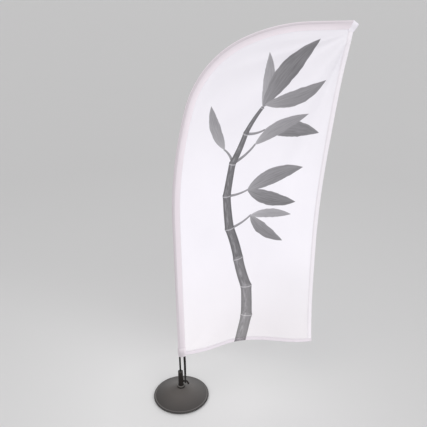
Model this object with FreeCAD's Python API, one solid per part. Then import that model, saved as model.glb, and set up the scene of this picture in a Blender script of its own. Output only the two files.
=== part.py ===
"""Tabletop sail flag: a printed cloth flag on a bent rod that turns on a weighted round base.

Frame: millimetres, +Z up, origin at the centre of the base pad's underside.
+X runs from the rod towards the flag's free edge and +Y points away from the printed face.
"""

import FreeCAD, Part
import math
import os

from FreeCAD import Vector

# ---- Base: a pressed steel cone over a cast weight, on a soft pad ----
BASE_R = 61.5  # outer edge of the rolled rim
RIM_R = 2.2  # radius of the rolled rim's round edge
RIM_Z = 3.4  # height of the rim's centre
PAD_R = 56.5
PAD_H = 2.0
SHELL_T = 1.2  # sheet thickness of the cone
TOP_R = 9.5  # flat ring at the top of the cone
TOP_Z = 26.0  # height of that flat ring
WEIGHT_R = 54.5
WEIGHT_GAP = 0.4  # space between the weight and the cone over it
NUT_WELL_R = 9.5  # recess under the weight that hides the nut
NUT_WELL_TOP = 12.0

# ---- Spindle: a turned pin bolted through the base ----
SHANK_R = 4.0
SHANK_HOLE_R = 4.2
FLANGE_R = 8.9
FLANGE_H = 5.0
FLANGE_CHAMFER = 0.8
PIN_R = 3.0
PIN_LENGTH = 16.0
PIN_CHAMFER = 0.8
WASHER_R = 8.5
WASHER_H = 1.4
NUT_ACROSS_FLATS = 13.0
NUT_H = 5.0
SHANK_END_Z = 3.5

# ---- Socket: the tube that turns on the spindle and holds the rod ----
THRUST_R = 6.5
THRUST_H = 0.8
SOCKET_R = 5.4
SOCKET_H = 34.5
BUSH_R = 3.9  # outside of the plain bearing pressed into the socket
BUSH_LENGTH = 17.0
RUNNING_GAP = 0.05  # radial play between pin and bush
CAP_H = 2.6
CAP_CHAMFER = 1.3
CAP_SPIGOT_R = 3.6
CAP_SPIGOT_H = 4.0
ROD_SLIP = 0.1  # radial play of the rod in its socket
ROD_BOTTOM_Z = 50.0

# ---- Cord hook: a round bar that leaves the socket level and turns down ----
HOOK_Z = 39.5
HOOK_R = 1.8
HOOK_LEVEL_END_X = 11.2
HOOK_BEND_R = 3.0
HOOK_BEND_DEG = 66.0
HOOK_TAIL = 6.5
HOOK_BALL_R = 2.3
HOOK_ROOT_DEPTH = 1.2  # how deep the bar's root sits in the socket wall
HOOK_COLLAR_R = 2.7
HOOK_COLLAR_X = 7.2

# ---- Rod: straight from the base, then bent over by the flag's own tension ----
ROD_R = 2.0
ROD_BORE_R = 1.2
BEND_START_Z = 423.0
BENDS = ((820.0, 16.0), (185.0, 52.0), (310.0, 22.0))  # radius and turn of each stretch
TIP_RUN = 76.0  # level run after the last bend
JOINT_S = 483.0  # where the two rod lengths meet, measured along the rod
JOINT_PIN_LENGTH = 60.0
TIP_CAP_STEM = 8.0
TIP_CAP_H = 2.4
TIP_CAP_ROUND = 1.2
TIP_CAP_ROOM = 1.0  # space left beyond the cap inside the band

# ---- Flag cloth ----
SLEEVE_R = 2.9  # outside of the sleeve where it wraps the rod
SLEEVE_T = 0.5
SLEEVE_TAIL = 12.3  # from the rod's centre to the seam
SLEEVE_TAIL_HALF = 0.7  # half the thickness at the seam
SLEEVE_BOTTOM_Z = 124.0
HEM_Z = 110.0  # height of the bottom edge
BOTTOM_HEM_W = 9.0
TRAILING_HEM_W = 9.5
PANEL_T = 0.8
HEM_T = 1.4
FREE_CORNER_X = 298.0
TIP_CORNER = (337.0, 776.0)  # x and z of the free edge's upper end
EDGE_SAG = 21.0  # how far the free edge curves in from its chord
BULGE = 30.0  # how far the cloth bellies back at its bottom edge
BULGE_TOP_Z = 640.0  # the cloth is flat above this height
BULGE_FADE = 1.5  # how fast the belly dies away with height
SHEET_LOW_Z = 90.0  # the sheet starts below the bottom edge and left of the seam
SHEET_STEP_Z = 45.0
SHEET_LEVELS = 17
SHEET_LEFT_X = 2.0
SHEET_STEP_X = 18.0
SHEET_COLUMNS = 21

# ---- Tip band: a folded tape that closes the sleeve over the rod's end ----
BAND = ((335.6, 796.2), (347.0, 788.0), (338.0, 774.6), (326.2, 776.6))
BAND_R = 3.5
BAND_TAIL = 19.5
BAND_TAIL_HALF = 1.2
SLEEVE_END = ((337.2, 797.0), (327.8, 776.0))  # the sleeve's slanting end, inside the band

# ---- Corner pocket and the stretch cord sewn into it ----
POCKET_X = 4.8
POCKET_LONG = 8.9
POCKET_SHORT = 5.8
POCKET_T = 0.6
POCKET_Z = (108.0, 130.0)
CORD_R = 1.65
CORD_X = 10.2
CORD_END_Y = 1.7
CORD_END_Z = 122.0
CORD_SLACK = 0.05
PAST_END = 20.0  # how far the sleeve's section runs on before its slanting cut
BAND_START = 20.0  # how far before the rod's end the band's section begins
BAND_RUN = 30.0  # how far beyond the rod's end it goes
SHORTEST_RUN = 1e-6  # anything shorter is no stretch at all

UP = Vector(0, 0, 1)
ACROSS = Vector(0, 1, 0)
REACH = 200.0  # half-depth of cutting prisms, well past the cloth

FLANGE_TOP = TOP_Z + FLANGE_H
SOCKET_Z = FLANGE_TOP + THRUST_H
SOCKET_TOP = SOCKET_Z + SOCKET_H
SHELL_RIM_X = BASE_R - RIM_R


def ring(outer_r, inner_r, low_z, high_z):
    """A plain ring about the vertical axis."""
    height = high_z - low_z
    outer = Part.makeCylinder(outer_r, height, Vector(0, 0, low_z))
    return outer.cut(Part.makeCylinder(inner_r, height, Vector(0, 0, low_z)))


def outline_face(points):
    """A flat face from (radius, height) corners."""
    corners = [Vector(radius, 0, height) for radius, height in points]
    return Part.Face(Part.makePolygon(corners + corners[:1]))


def turned(points):
    """A solid turned about the vertical axis from (radius, height) corners."""
    return outline_face(points).revolve(Vector(), UP, 360)


def joined(pieces):
    """One solid from touching pieces."""
    return pieces[0].multiFuse(pieces[1:]).removeSplitter()


def prism(corners):
    """A prism through the whole depth of the flag from (x, z) corners."""
    points = [Vector(x, -REACH, z) for x, z in corners]
    face = Part.Face(Part.makePolygon(points + points[:1]))
    return face.extrude(ACROSS * 2 * REACH)


# ---- Base ----


def base_pad():
    return Part.makeCylinder(PAD_R, PAD_H)


def cone_drop():
    """Height the cone falls for each millimetre outwards."""
    return (TOP_Z - SHELL_T - RIM_Z) / (SHELL_RIM_X - TOP_R)


def base_shell():
    sheet = outline_face(
        (
            (SHANK_HOLE_R, TOP_Z - SHELL_T),
            (SHANK_HOLE_R, TOP_Z),
            (TOP_R, TOP_Z),
            (SHELL_RIM_X, RIM_Z + SHELL_T),
            (SHELL_RIM_X, RIM_Z),
            (TOP_R, TOP_Z - SHELL_T),
        )
    )
    edge = Part.makeCircle(RIM_R, Vector(SHELL_RIM_X, 0, RIM_Z), ACROSS)
    section = sheet.fuse(Part.Face(Part.Wire(edge))).removeSplitter()
    return section.Faces[0].revolve(Vector(), UP, 360)


def base_weight():
    inside_top = TOP_Z - SHELL_T
    edge_top = inside_top - cone_drop() * (WEIGHT_R - TOP_R) - WEIGHT_GAP
    shoulder_r = TOP_R - WEIGHT_GAP / cone_drop()
    return turned(
        (
            (SHANK_HOLE_R, NUT_WELL_TOP),
            (SHANK_HOLE_R, inside_top),
            (shoulder_r, inside_top),
            (WEIGHT_R, edge_top),
            (WEIGHT_R, PAD_H),
            (NUT_WELL_R, PAD_H),
            (NUT_WELL_R, NUT_WELL_TOP),
        )
    )


def spindle():
    pin_top = FLANGE_TOP + PIN_LENGTH
    return turned(
        (
            (0, SHANK_END_Z),
            (SHANK_R, SHANK_END_Z),
            (SHANK_R, TOP_Z),
            (FLANGE_R, TOP_Z),
            (FLANGE_R, FLANGE_TOP - FLANGE_CHAMFER),
            (FLANGE_R - FLANGE_CHAMFER, FLANGE_TOP),
            (PIN_R, FLANGE_TOP),
            (PIN_R, pin_top - PIN_CHAMFER),
            (PIN_R - PIN_CHAMFER, pin_top),
            (0, pin_top),
        )
    )


def spindle_washer():
    return ring(WASHER_R, SHANK_HOLE_R, NUT_WELL_TOP - WASHER_H, NUT_WELL_TOP)


def spindle_nut():
    top = NUT_WELL_TOP - WASHER_H
    corner_r = NUT_ACROSS_FLATS / 2 / math.cos(math.pi / 6)
    corners = []
    for step in range(6):
        turn = step * math.pi / 3
        corners.append(Vector(corner_r * math.cos(turn), corner_r * math.sin(turn), top - NUT_H))
    hexagon = Part.Face(Part.makePolygon(corners + corners[:1]))
    blank = hexagon.extrude(UP * NUT_H)
    return blank.cut(Part.makeCylinder(SHANK_R, NUT_H, Vector(0, 0, top - NUT_H)))


def thrust_washer():
    return ring(THRUST_R, PIN_R + 2 * RUNNING_GAP, FLANGE_TOP, SOCKET_Z)


# ---- Socket ----


def socket_body():
    bush_top = SOCKET_Z + BUSH_LENGTH
    body = Part.makeCylinder(SOCKET_R, SOCKET_H, Vector(0, 0, SOCKET_Z))
    rod_hole = Part.makeCylinder(ROD_R + ROD_SLIP, SOCKET_TOP - ROD_BOTTOM_Z, Vector(0, 0, ROD_BOTTOM_Z))
    cap_seat = Part.makeCylinder(CAP_SPIGOT_R, CAP_SPIGOT_H, Vector(0, 0, SOCKET_TOP - CAP_SPIGOT_H))
    bush_hole = Part.makeCylinder(BUSH_R, bush_top - SOCKET_Z, Vector(0, 0, SOCKET_Z))
    for hole in (rod_hole, cap_seat, bush_hole, hook_bar()):
        body = body.cut(hole)
    return body


def socket_cap():
    rod_hole_r = ROD_R + ROD_SLIP
    return turned(
        (
            (rod_hole_r, SOCKET_TOP - CAP_SPIGOT_H),
            (CAP_SPIGOT_R, SOCKET_TOP - CAP_SPIGOT_H),
            (CAP_SPIGOT_R, SOCKET_TOP),
            (SOCKET_R, SOCKET_TOP),
            (SOCKET_R, SOCKET_TOP + CAP_H - CAP_CHAMFER),
            (SOCKET_R - CAP_CHAMFER, SOCKET_TOP + CAP_H),
            (rod_hole_r, SOCKET_TOP + CAP_H),
        )
    )


def spindle_bush():
    return ring(BUSH_R, PIN_R + RUNNING_GAP, SOCKET_Z, SOCKET_Z + BUSH_LENGTH)


def hook_bar():
    """The hook's round bar: level, then a bend down, then a short tail."""
    root_x = SOCKET_R - HOOK_ROOT_DEPTH
    bend = math.radians(HOOK_BEND_DEG)
    disc = Part.makeCircle(HOOK_R, Vector(root_x, 0, HOOK_Z), Vector(1, 0, 0))
    level = Part.Face(Part.Wire(disc)).extrude(Vector(HOOK_LEVEL_END_X - root_x, 0, 0))
    disc = Part.makeCircle(HOOK_R, Vector(HOOK_LEVEL_END_X, 0, HOOK_Z), Vector(1, 0, 0))
    centre = Vector(HOOK_LEVEL_END_X, 0, HOOK_Z - HOOK_BEND_R)
    curve = Part.Face(Part.Wire(disc)).revolve(centre, ACROSS, HOOK_BEND_DEG)
    start = centre + Vector(math.sin(bend), 0, math.cos(bend)) * HOOK_BEND_R
    along = Vector(math.cos(bend), 0, -math.sin(bend))
    tail = Part.makeCylinder(HOOK_R, HOOK_TAIL, start, along)
    ball = Part.makeSphere(HOOK_BALL_R, start + along * HOOK_TAIL)
    return joined([level, curve, tail, ball])


def cord_hook():
    root = Vector(SOCKET_R - HOOK_ROOT_DEPTH, 0, HOOK_Z)
    collar = Part.makeCylinder(HOOK_COLLAR_R, HOOK_COLLAR_X - root.x, root, Vector(1, 0, 0))
    collar = collar.cut(Part.makeCylinder(SOCKET_R, SOCKET_H, Vector(0, 0, SOCKET_Z)))
    return joined([hook_bar(), collar])


# ---- Rod path: a list of stretches, each (start along the rod, length, radius or None) ----


def stretches():
    runs = [(0.0, BEND_START_Z - ROD_BOTTOM_Z, None)]
    for radius, turn in BENDS:
        start = runs[-1][0] + runs[-1][1]
        runs.append((start, math.radians(turn) * radius, radius))
    start = runs[-1][0] + runs[-1][1]
    runs.append((start, TIP_RUN, None))
    return runs


def rod_end():
    """The rod's whole length along its bend."""
    start, length, _ = stretches()[-1]
    return start + length


def rod_frame(distance, offset=0.0):
    """The point at a distance along the rod, moved inwards by offset, and the turn there in degrees."""
    point = Vector(0, 0, ROD_BOTTOM_Z)
    turn = 0.0
    for start, length, radius in stretches():
        part = min(length, distance - start)
        if radius is None and start > 0:
            part = distance - start
        if part <= 0:
            break
        ahead = Vector(math.sin(turn), 0, math.cos(turn))
        inward = Vector(math.cos(turn), 0, -math.sin(turn))
        if radius is None:
            point = point + ahead * part
        else:
            step = part / radius
            point = point + inward * radius * (1 - math.cos(step)) + ahead * radius * math.sin(step)
            turn = turn + step
    inward = Vector(math.cos(turn), 0, -math.sin(turn))
    return point + inward * offset, math.degrees(turn)


def along_rod(profile, start, end):
    """A solid with one section all along the rod. The profile lies in XY, with +X inwards."""
    pieces = []
    runs = stretches()
    last_start = runs[-1][0]
    for run_start, length, radius in runs:
        low = max(start, run_start)
        high = min(end, run_start + length)
        if run_start == last_start:
            high = end
        if high - low < SHORTEST_RUN:
            continue
        point, turn = rod_frame(low)
        face = profile.copy()
        face.rotate(Vector(), ACROSS, turn)
        face.translate(point)
        inward = Vector(math.cos(math.radians(turn)), 0, -math.sin(math.radians(turn)))
        ahead = Vector(math.sin(math.radians(turn)), 0, math.cos(math.radians(turn)))
        if radius is None:
            pieces.append(face.extrude(ahead * (high - low)))
        else:
            sweep = math.degrees((high - low) / radius)
            pieces.append(face.revolve(point + inward * radius, ACROSS, sweep))
    return joined(pieces) if len(pieces) > 1 else pieces[0]


def disc_profile(radius):
    return Part.Face(Part.Wire(Part.makeCircle(radius)))


def teardrop_profile(radius, tail, tail_half):
    """A round nose about the rod with two straight sides that close on a thin tail."""
    reach = math.hypot(tail, tail_half)
    turn = math.atan2(tail_half, tail) + math.acos(radius / reach)
    near_x = radius * math.cos(turn)
    near_y = radius * math.sin(turn)
    nose = Part.Arc(Vector(near_x, near_y, 0), Vector(-radius, 0, 0), Vector(near_x, -near_y, 0))
    lower = Part.LineSegment(Vector(near_x, -near_y, 0), Vector(tail, -tail_half, 0))
    end = Part.LineSegment(Vector(tail, -tail_half, 0), Vector(tail, tail_half, 0))
    upper = Part.LineSegment(Vector(tail, tail_half, 0), Vector(near_x, near_y, 0))
    return Part.Face(Part.Wire([nose.toShape(), lower.toShape(), end.toShape(), upper.toShape()]))


# ---- Rod ----


def lower_rod():
    tube = along_rod(disc_profile(ROD_R), 0, JOINT_S)
    return tube.cut(along_rod(disc_profile(ROD_BORE_R), 0, JOINT_S))


def upper_rod():
    tube = along_rod(disc_profile(ROD_R), JOINT_S, rod_end())
    return tube.cut(along_rod(disc_profile(ROD_BORE_R), JOINT_S, rod_end()))


def rod_joint_pin():
    half = JOINT_PIN_LENGTH / 2
    return along_rod(disc_profile(ROD_BORE_R), JOINT_S - half, JOINT_S + half)


def tip_cap():
    end, _ = rod_frame(rod_end())
    stem = Part.makeCylinder(ROD_BORE_R, TIP_CAP_STEM, end, Vector(-1, 0, 0))
    head = Part.makeCylinder(ROD_R, TIP_CAP_H, end, Vector(1, 0, 0))
    head = head.makeFillet(TIP_CAP_ROUND, [head.Edges[0]])
    return joined([stem, head])


# ---- Cloth: one gently bellied sheet, divided into panel and hems ----


def rod_lean(height):
    """How far the rod has leant over at a height on its first bend."""
    if height <= BEND_START_Z:
        return 0.0
    radius = BENDS[0][0]
    return radius - math.sqrt(radius**2 - (height - BEND_START_Z) ** 2)


def edge_circle():
    """Centre and radius of the free edge's inward curve."""
    low = Vector(FREE_CORNER_X, 0, HEM_Z)
    high = Vector(TIP_CORNER[0], 0, TIP_CORNER[1])
    chord = high.sub(low)
    radius = chord.Length**2 / (8 * EDGE_SAG) + EDGE_SAG / 2
    outward = chord.cross(ACROSS).normalize() * -1
    middle = (low + high) * 0.5
    return middle + outward * (radius - EDGE_SAG), radius


def belly(x, height):
    """How far back the cloth hangs from the flag's plane."""
    if height >= BULGE_TOP_Z:
        return 0.0
    seam = SLEEVE_TAIL + rod_lean(height)
    share = (x - seam) / (FREE_CORNER_X - seam)
    if share <= 0 or share >= 1:
        return 0.0
    fade = ((BULGE_TOP_Z - height) / (BULGE_TOP_Z - HEM_Z)) ** BULGE_FADE
    return BULGE * fade * math.sin(math.pi * share) ** 2


def cloth(thickness):
    """The whole sheet at one thickness, past every edge."""
    rows = []
    for level in range(SHEET_LEVELS):
        height = SHEET_LOW_Z + level * SHEET_STEP_Z
        row = []
        for column in range(SHEET_COLUMNS):
            x = SHEET_LEFT_X + column * SHEET_STEP_X
            row.append(Vector(x, belly(x, height) - thickness / 2, height))
        rows.append(row)
    surface = Part.BSplineSurface()
    surface.interpolate(rows)
    return surface.toShape().extrude(ACROSS * thickness)


def inside_seam():
    """Everything on the flag's side of the sleeve seam, above the bottom edge."""
    edges = []
    low = Vector(SLEEVE_TAIL, 0, HEM_Z)
    far_x = BAND[1][0] + REACH
    here = low
    for start, length, radius in stretches():
        after, _ = rod_frame(start + length, SLEEVE_TAIL)
        if radius is None:
            edges.append(Part.LineSegment(here, after).toShape())
        else:
            middle, _ = rod_frame(start + length / 2, SLEEVE_TAIL)
            edges.append(Part.Arc(here, middle, after).toShape())
        here = after
    corners = [here, Vector(far_x, 0, here.z), Vector(far_x, 0, HEM_Z), low]
    for before, after in zip(corners, corners[1:]):
        edges.append(Part.LineSegment(before, after).toShape())
    face = Part.Face(Part.Wire(edges))
    face.translate(ACROSS * -REACH)
    return face.extrude(ACROSS * 2 * REACH)


def beyond_edge(margin):
    """Everything past the free edge, moved in by a margin."""
    centre, radius = edge_circle()
    return Part.makeCylinder(radius + margin, 2 * REACH, centre - ACROSS * REACH, ACROSS)


def hem_strip():
    """The level band that the bottom hem fills."""
    far = BAND[1][0] + REACH
    top = HEM_Z + BOTTOM_HEM_W
    return prism(((0, HEM_Z - 1), (far, HEM_Z - 1), (far, top), (0, top)))


def pocket_block():
    """The corner pocket's outer shape, solid."""
    low, high = POCKET_Z
    oval = Part.Ellipse(Vector(POCKET_X, 0, low), POCKET_LONG, POCKET_SHORT)
    return Part.Face(Part.Wire(oval.toShape())).extrude(UP * (high - low))


def flag_panel():
    panel = cloth(PANEL_T).common(inside_seam())
    for tool in (beyond_edge(TRAILING_HEM_W), hem_strip(), pocket_block(), prism(BAND)):
        panel = panel.cut(tool)
    return panel


def trailing_hem():
    hem = cloth(HEM_T).common(inside_seam()).common(beyond_edge(TRAILING_HEM_W))
    for tool in (beyond_edge(0), hem_strip(), prism(BAND), past_sleeve_end()):
        hem = hem.cut(tool)
    return hem


def bottom_hem():
    hem = cloth(HEM_T).common(inside_seam()).common(hem_strip())
    for tool in (beyond_edge(0), pocket_block()):
        hem = hem.cut(tool)
    return hem


def past_sleeve_end():
    """Everything beyond the sleeve's slanting end."""
    high, low = SLEEVE_END
    far = BAND[1][0] + REACH
    return prism((high, (far, high[1]), (far, low[1]), low))


def sleeve_block():
    """The sleeve's outer shape, solid, to its slanting end."""
    profile = teardrop_profile(SLEEVE_R, SLEEVE_TAIL, SLEEVE_TAIL_HALF)
    block = along_rod(profile, SLEEVE_BOTTOM_Z - ROD_BOTTOM_Z, rod_end() + PAST_END)
    return block.cut(past_sleeve_end())


def rod_sleeve():
    tail = SLEEVE_TAIL - 2 * SLEEVE_T
    profile = teardrop_profile(SLEEVE_R - SLEEVE_T, tail, SLEEVE_TAIL_HALF - SLEEVE_T)
    return sleeve_block().cut(along_rod(profile, 0, rod_end() + PAST_END))


def tip_band():
    profile = teardrop_profile(BAND_R, BAND_TAIL, BAND_TAIL_HALF)
    start = rod_end() - BAND_START
    band = along_rod(profile, start, rod_end() + BAND_RUN).common(prism(BAND))
    bore = along_rod(disc_profile(SLEEVE_R - SLEEVE_T), start, rod_end() + TIP_CAP_H + TIP_CAP_ROOM)
    return band.cut(sleeve_block()).cut(bore)


def corner_pocket():
    low, high = POCKET_Z
    oval = Part.Ellipse(Vector(POCKET_X, 0, low), POCKET_LONG - POCKET_T, POCKET_SHORT - POCKET_T)
    inside = Part.Face(Part.Wire(oval.toShape())).extrude(UP * (high - low))
    return pocket_block().cut(inside)


def cord_route():
    """Two straight runs joined by the turn under the hook, as one wire."""
    bend_r = HOOK_R + CORD_R + CORD_SLACK
    drop = CORD_END_Z - HOOK_Z
    reach = math.hypot(CORD_END_Y, drop)
    turn = math.atan2(drop, CORD_END_Y) - math.acos(bend_r / reach)
    near = Vector(CORD_X, bend_r * math.cos(turn), HOOK_Z + bend_r * math.sin(turn))
    far = Vector(CORD_X, -near.y, near.z)
    under = Vector(CORD_X, 0, HOOK_Z - bend_r)
    down = Part.LineSegment(Vector(CORD_X, CORD_END_Y, CORD_END_Z), near)
    up = Part.LineSegment(far, Vector(CORD_X, -CORD_END_Y, CORD_END_Z))
    return Part.Wire([down.toShape(), Part.Arc(near, under, far).toShape(), up.toShape()]), bend_r


def tension_loop():
    route, _ = cord_route()
    first = route.Edges[0]
    heading = first.tangentAt(first.FirstParameter)
    disc = Part.Wire(Part.makeCircle(CORD_R, first.valueAt(first.FirstParameter), heading))
    return route.makePipeShell([disc], True, False)


NODES = {
    "base_pad": base_pad,
    "base_shell": base_shell,
    "base_weight": base_weight,
    "spindle": spindle,
    "spindle_washer": spindle_washer,
    "spindle_nut": spindle_nut,
    "thrust_washer": thrust_washer,
    "socket_body": socket_body,
    "socket_cap": socket_cap,
    "spindle_bush": spindle_bush,
    "cord_hook": cord_hook,
    "lower_rod": lower_rod,
    "upper_rod": upper_rod,
    "rod_joint_pin": rod_joint_pin,
    "tip_cap": tip_cap,
    "flag_panel": flag_panel,
    "rod_sleeve": rod_sleeve,
    "trailing_hem": trailing_hem,
    "bottom_hem": bottom_hem,
    "tip_band": tip_band,
    "corner_pocket": corner_pocket,
    "tension_loop": tension_loop,
}


def main():
    os.makedirs("parts", exist_ok=True)
    for name, make in NODES.items():
        shape = make()
        shape.exportStep(f"parts/{name}.step")
        box = shape.optimalBoundingBox()
        count = len(shape.Solids)
        print(f"{name:15s} valid {shape.isValid()} solids {count} volume {shape.Volume:10.1f} mm3")
        print(f"    x {box.XMin:7.1f} {box.XMax:7.1f}  y {box.YMin:6.1f} {box.YMax:6.1f}", end="")
        print(f"  z {box.ZMin:6.1f} {box.ZMax:6.1f}")
    route, bend_r = cord_route()
    cord_volume = math.pi * CORD_R**2 * route.Length
    print(f"cord length {route.Length:.1f} mm, bend radius {bend_r:.2f} mm")
    print(f"cord section x length {cord_volume:.1f} mm3")
    print(f"rod length {rod_end():.1f} mm")


main()
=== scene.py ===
"""Looks for a tabletop sail flag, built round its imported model.

Frame: +Z up, origin at the centre of the base pad's underside, +X from the rod to the flag's free
edge, +Y away from the printed face. Shapes are worked out in millimetres and made in metres.
"""

import math

import bmesh
import bpy
import numpy as np
from mathutils import Matrix, Vector, noise


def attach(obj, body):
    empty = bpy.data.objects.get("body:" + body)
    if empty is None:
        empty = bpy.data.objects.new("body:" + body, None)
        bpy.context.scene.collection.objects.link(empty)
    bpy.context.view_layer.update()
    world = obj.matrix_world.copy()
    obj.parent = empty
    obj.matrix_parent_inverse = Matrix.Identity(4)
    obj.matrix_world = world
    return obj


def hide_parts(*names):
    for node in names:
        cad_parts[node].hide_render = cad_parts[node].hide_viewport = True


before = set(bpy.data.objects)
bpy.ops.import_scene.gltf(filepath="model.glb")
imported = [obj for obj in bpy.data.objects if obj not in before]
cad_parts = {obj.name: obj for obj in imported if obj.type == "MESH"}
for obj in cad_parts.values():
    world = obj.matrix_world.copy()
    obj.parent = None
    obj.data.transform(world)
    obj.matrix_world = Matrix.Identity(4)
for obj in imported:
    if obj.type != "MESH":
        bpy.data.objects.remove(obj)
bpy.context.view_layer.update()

MM = 0.001

# ---- Driving dimensions, the same as the CAD's, in millimetres ----
ROD_BOTTOM_Z = 50.0
BEND_START_Z = 423.0
BENDS = ((820.0, 16.0), (185.0, 52.0), (310.0, 22.0))  # radius and turn of each stretch
TIP_RUN = 76.0
SLEEVE_R = 2.9
SLEEVE_T = 0.5
SLEEVE_TAIL = 12.3
SLEEVE_TAIL_HALF = 0.7
SLEEVE_BOTTOM_Z = 124.0
HEM_Z = 110.0
BOTTOM_HEM_W = 9.0
TRAILING_HEM_W = 9.5
FREE_CORNER_X = 298.0
TIP_CORNER = (337.0, 776.0)
EDGE_SAG = 21.0
BULGE = 30.0
BULGE_TOP_Z = 640.0
BULGE_FADE = 1.5
BAND = ((335.6, 796.2), (347.0, 788.0), (338.0, 774.6), (326.2, 776.6))
BAND_R = 3.5
BAND_TAIL_HALF = 1.2
POCKET_X = 4.8
POCKET_LONG = 8.9
POCKET_SHORT = 5.8
POCKET_Z = (108.0, 130.0)
CORD_X = 10.2
CORD_D = 3.3
CORD_BEND = 3.5
HOOK_Z = 39.5
FLANGE_TOP_Z = 31.0
FLANGE_CHAMFER = 0.8

# ---- Camera ----
EYE = (-0.0710, -1.0023, 0.8740)
HEADING_DEG = 8.5
PITCH_DEG = 23.16
ROLL_DEG = 0.79
LENS = 47.21
SENSOR = 36.0


# ---- Mesh helpers ----


def add_object(name, data):
    obj = bpy.data.objects.new(name, data)
    bpy.context.scene.collection.objects.link(obj)
    return obj


def mesh_object(name, points, faces, sharp_deg=60.0):
    """A smooth-shaded mesh from points in millimetres, with its normals facing out."""
    mesh = bpy.data.meshes.new(name)
    mesh.from_pydata([tuple(float(c) * MM for c in p) for p in points], [], faces)
    shape = bmesh.new()
    shape.from_mesh(mesh)
    bmesh.ops.recalc_face_normals(shape, faces=shape.faces)
    shape.to_mesh(mesh)
    shape.free()
    mesh.shade_smooth()
    mesh.set_sharp_from_angle(angle=math.radians(sharp_deg))
    return add_object(name, mesh)


def ring_faces(rings, count, first=0):
    """Quads round and along a run of closed rings."""
    faces = []
    for r in range(rings - 1):
        for c in range(count):
            a = first + r * count + c
            b = first + r * count + (c + 1) % count
            faces.append((a, b, b + count, a + count))
    return faces


def tube(name, rings, sharp_deg=60.0):
    """A closed solid through closed rings of equal length, capped flat at both ends."""
    count = len(rings[0])
    points = [p for ring in rings for p in ring]
    faces = ring_faces(len(rings), count)
    faces.append(tuple(reversed(range(count))))
    last = (len(rings) - 1) * count
    faces.append(tuple(range(last, last + count)))
    return mesh_object(name, points, faces, sharp_deg)


def tag(obj, name, values):
    """Stores one number for each of a mesh's points, for its material to read."""
    obj.data.attributes.new(name, "FLOAT", "POINT").data.foreach_set("value", values)


def wobble(x, y, z, scale):
    """Smooth noise from -1 to 1 with features about scale millimetres across."""
    return noise.noise(Vector((x, y, z)) / scale)


# ---- Rod path and cloth outline ----


def stretches():
    runs = [(0.0, BEND_START_Z - ROD_BOTTOM_Z, None)]
    for radius, turn in BENDS:
        start = runs[-1][0] + runs[-1][1]
        runs.append((start, math.radians(turn) * radius, radius))
    runs.append((runs[-1][0] + runs[-1][1], TIP_RUN, None))
    return runs


RUNS = stretches()
ROD_END = RUNS[-1][0] + RUNS[-1][1]


def rod_frame(distance, offset=0.0):
    """Point at a distance along the rod, moved inwards by offset, with the way ahead and inwards."""
    point = Vector((0, 0, ROD_BOTTOM_Z))
    turn = 0.0
    for start, length, radius in RUNS:
        part = min(length, distance - start)
        if start == RUNS[-1][0]:
            part = distance - start
        if part <= 0 and start > 0:
            break
        ahead = Vector((math.sin(turn), 0, math.cos(turn)))
        inward = Vector((math.cos(turn), 0, -math.sin(turn)))
        if radius is None:
            point = point + ahead * part
        else:
            step = part / radius
            point = point + inward * radius * (1 - math.cos(step)) + ahead * radius * math.sin(step)
            turn = turn + step
    ahead = Vector((math.sin(turn), 0, math.cos(turn)))
    inward = Vector((math.cos(turn), 0, -math.sin(turn)))
    return point + inward * offset, ahead, inward


def edge_circle():
    """Centre and radius of the free edge's inward curve."""
    low = Vector((FREE_CORNER_X, 0, HEM_Z))
    high = Vector((TIP_CORNER[0], 0, TIP_CORNER[1]))
    chord = high - low
    radius = chord.length**2 / (8 * EDGE_SAG) + EDGE_SAG / 2
    outward = Vector((chord.z, 0, -chord.x)).normalized()
    return (low + high) / 2 + outward * (radius - EDGE_SAG), radius


EDGE_CENTRE, EDGE_R = edge_circle()


def edge_point(height, margin=0.0):
    """The free edge at a height, moved in by a margin."""
    radius = EDGE_R + margin
    rise = height - EDGE_CENTRE.z
    return Vector((EDGE_CENTRE.x - math.sqrt(radius**2 - rise**2), 0, height))


# ---- How the cloth hangs ----


def rod_lean(height):
    if height <= BEND_START_Z:
        return 0.0
    radius = BENDS[0][0]
    return radius - math.sqrt(radius**2 - (height - BEND_START_Z) ** 2)


def belly(x, height):
    """How far back the cloth bellies, as in the CAD."""
    if height >= BULGE_TOP_Z:
        return 0.0
    seam = SLEEVE_TAIL + rod_lean(height)
    share = (x - seam) / (FREE_CORNER_X - seam)
    if share <= 0 or share >= 1:
        return 0.0
    fade = ((BULGE_TOP_Z - height) / (BULGE_TOP_Z - HEM_Z)) ** BULGE_FADE
    return BULGE * fade * math.sin(math.pi * share) ** 2


def hump(value, middle, width):
    """A smooth bump of height 1 that is gone one width from its middle."""
    share = min(1.0, abs(value - middle) / width)
    return (1 - share * share) ** 2


def ease(value, low, high):
    share = min(1.0, max(0.0, (value - low) / (high - low)))
    return share * share * (3 - 2 * share)


ROD_SAMPLES = np.array([rod_frame(d)[0].xz[:] for d in np.arange(0, ROD_END + 40, 4.0)])

# Tension folds that fan out of a pull point: direction and half-width in degrees, depth in millimetres.
TIP_FOLDS = ((9.0, 4.0, -0.8), (22.0, 7.0, 3.4), (36.0, 9.0, -1.9), (66.0, 10.0, 2.8), (80.0, 6.0, 1.1))
FAR_TIP_FOLDS = ((14.5, 5.0, 2.0), (27.0, 8.0, -1.8), (50.0, 12.0, 1.8))
CORNER_FOLDS = ((18.0, 10.0, -0.4), (38.0, 13.0, 0.5), (62.0, 14.0, -0.4))
# Where each fan starts and ends, measured from its pull point.
TIP_REACH = (0.0, 440.0)
FAR_TIP_REACH = (110.0, 560.0)
CORNER_REACH = (0.0, 300.0)
SEAM_EASE = 32.0  # the cloth lies flat at the sleeve's seam and is free this far from it
WAVE_DEPTH = 3.4  # low diagonal waves
WAVE_SCALE = 70.0


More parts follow.
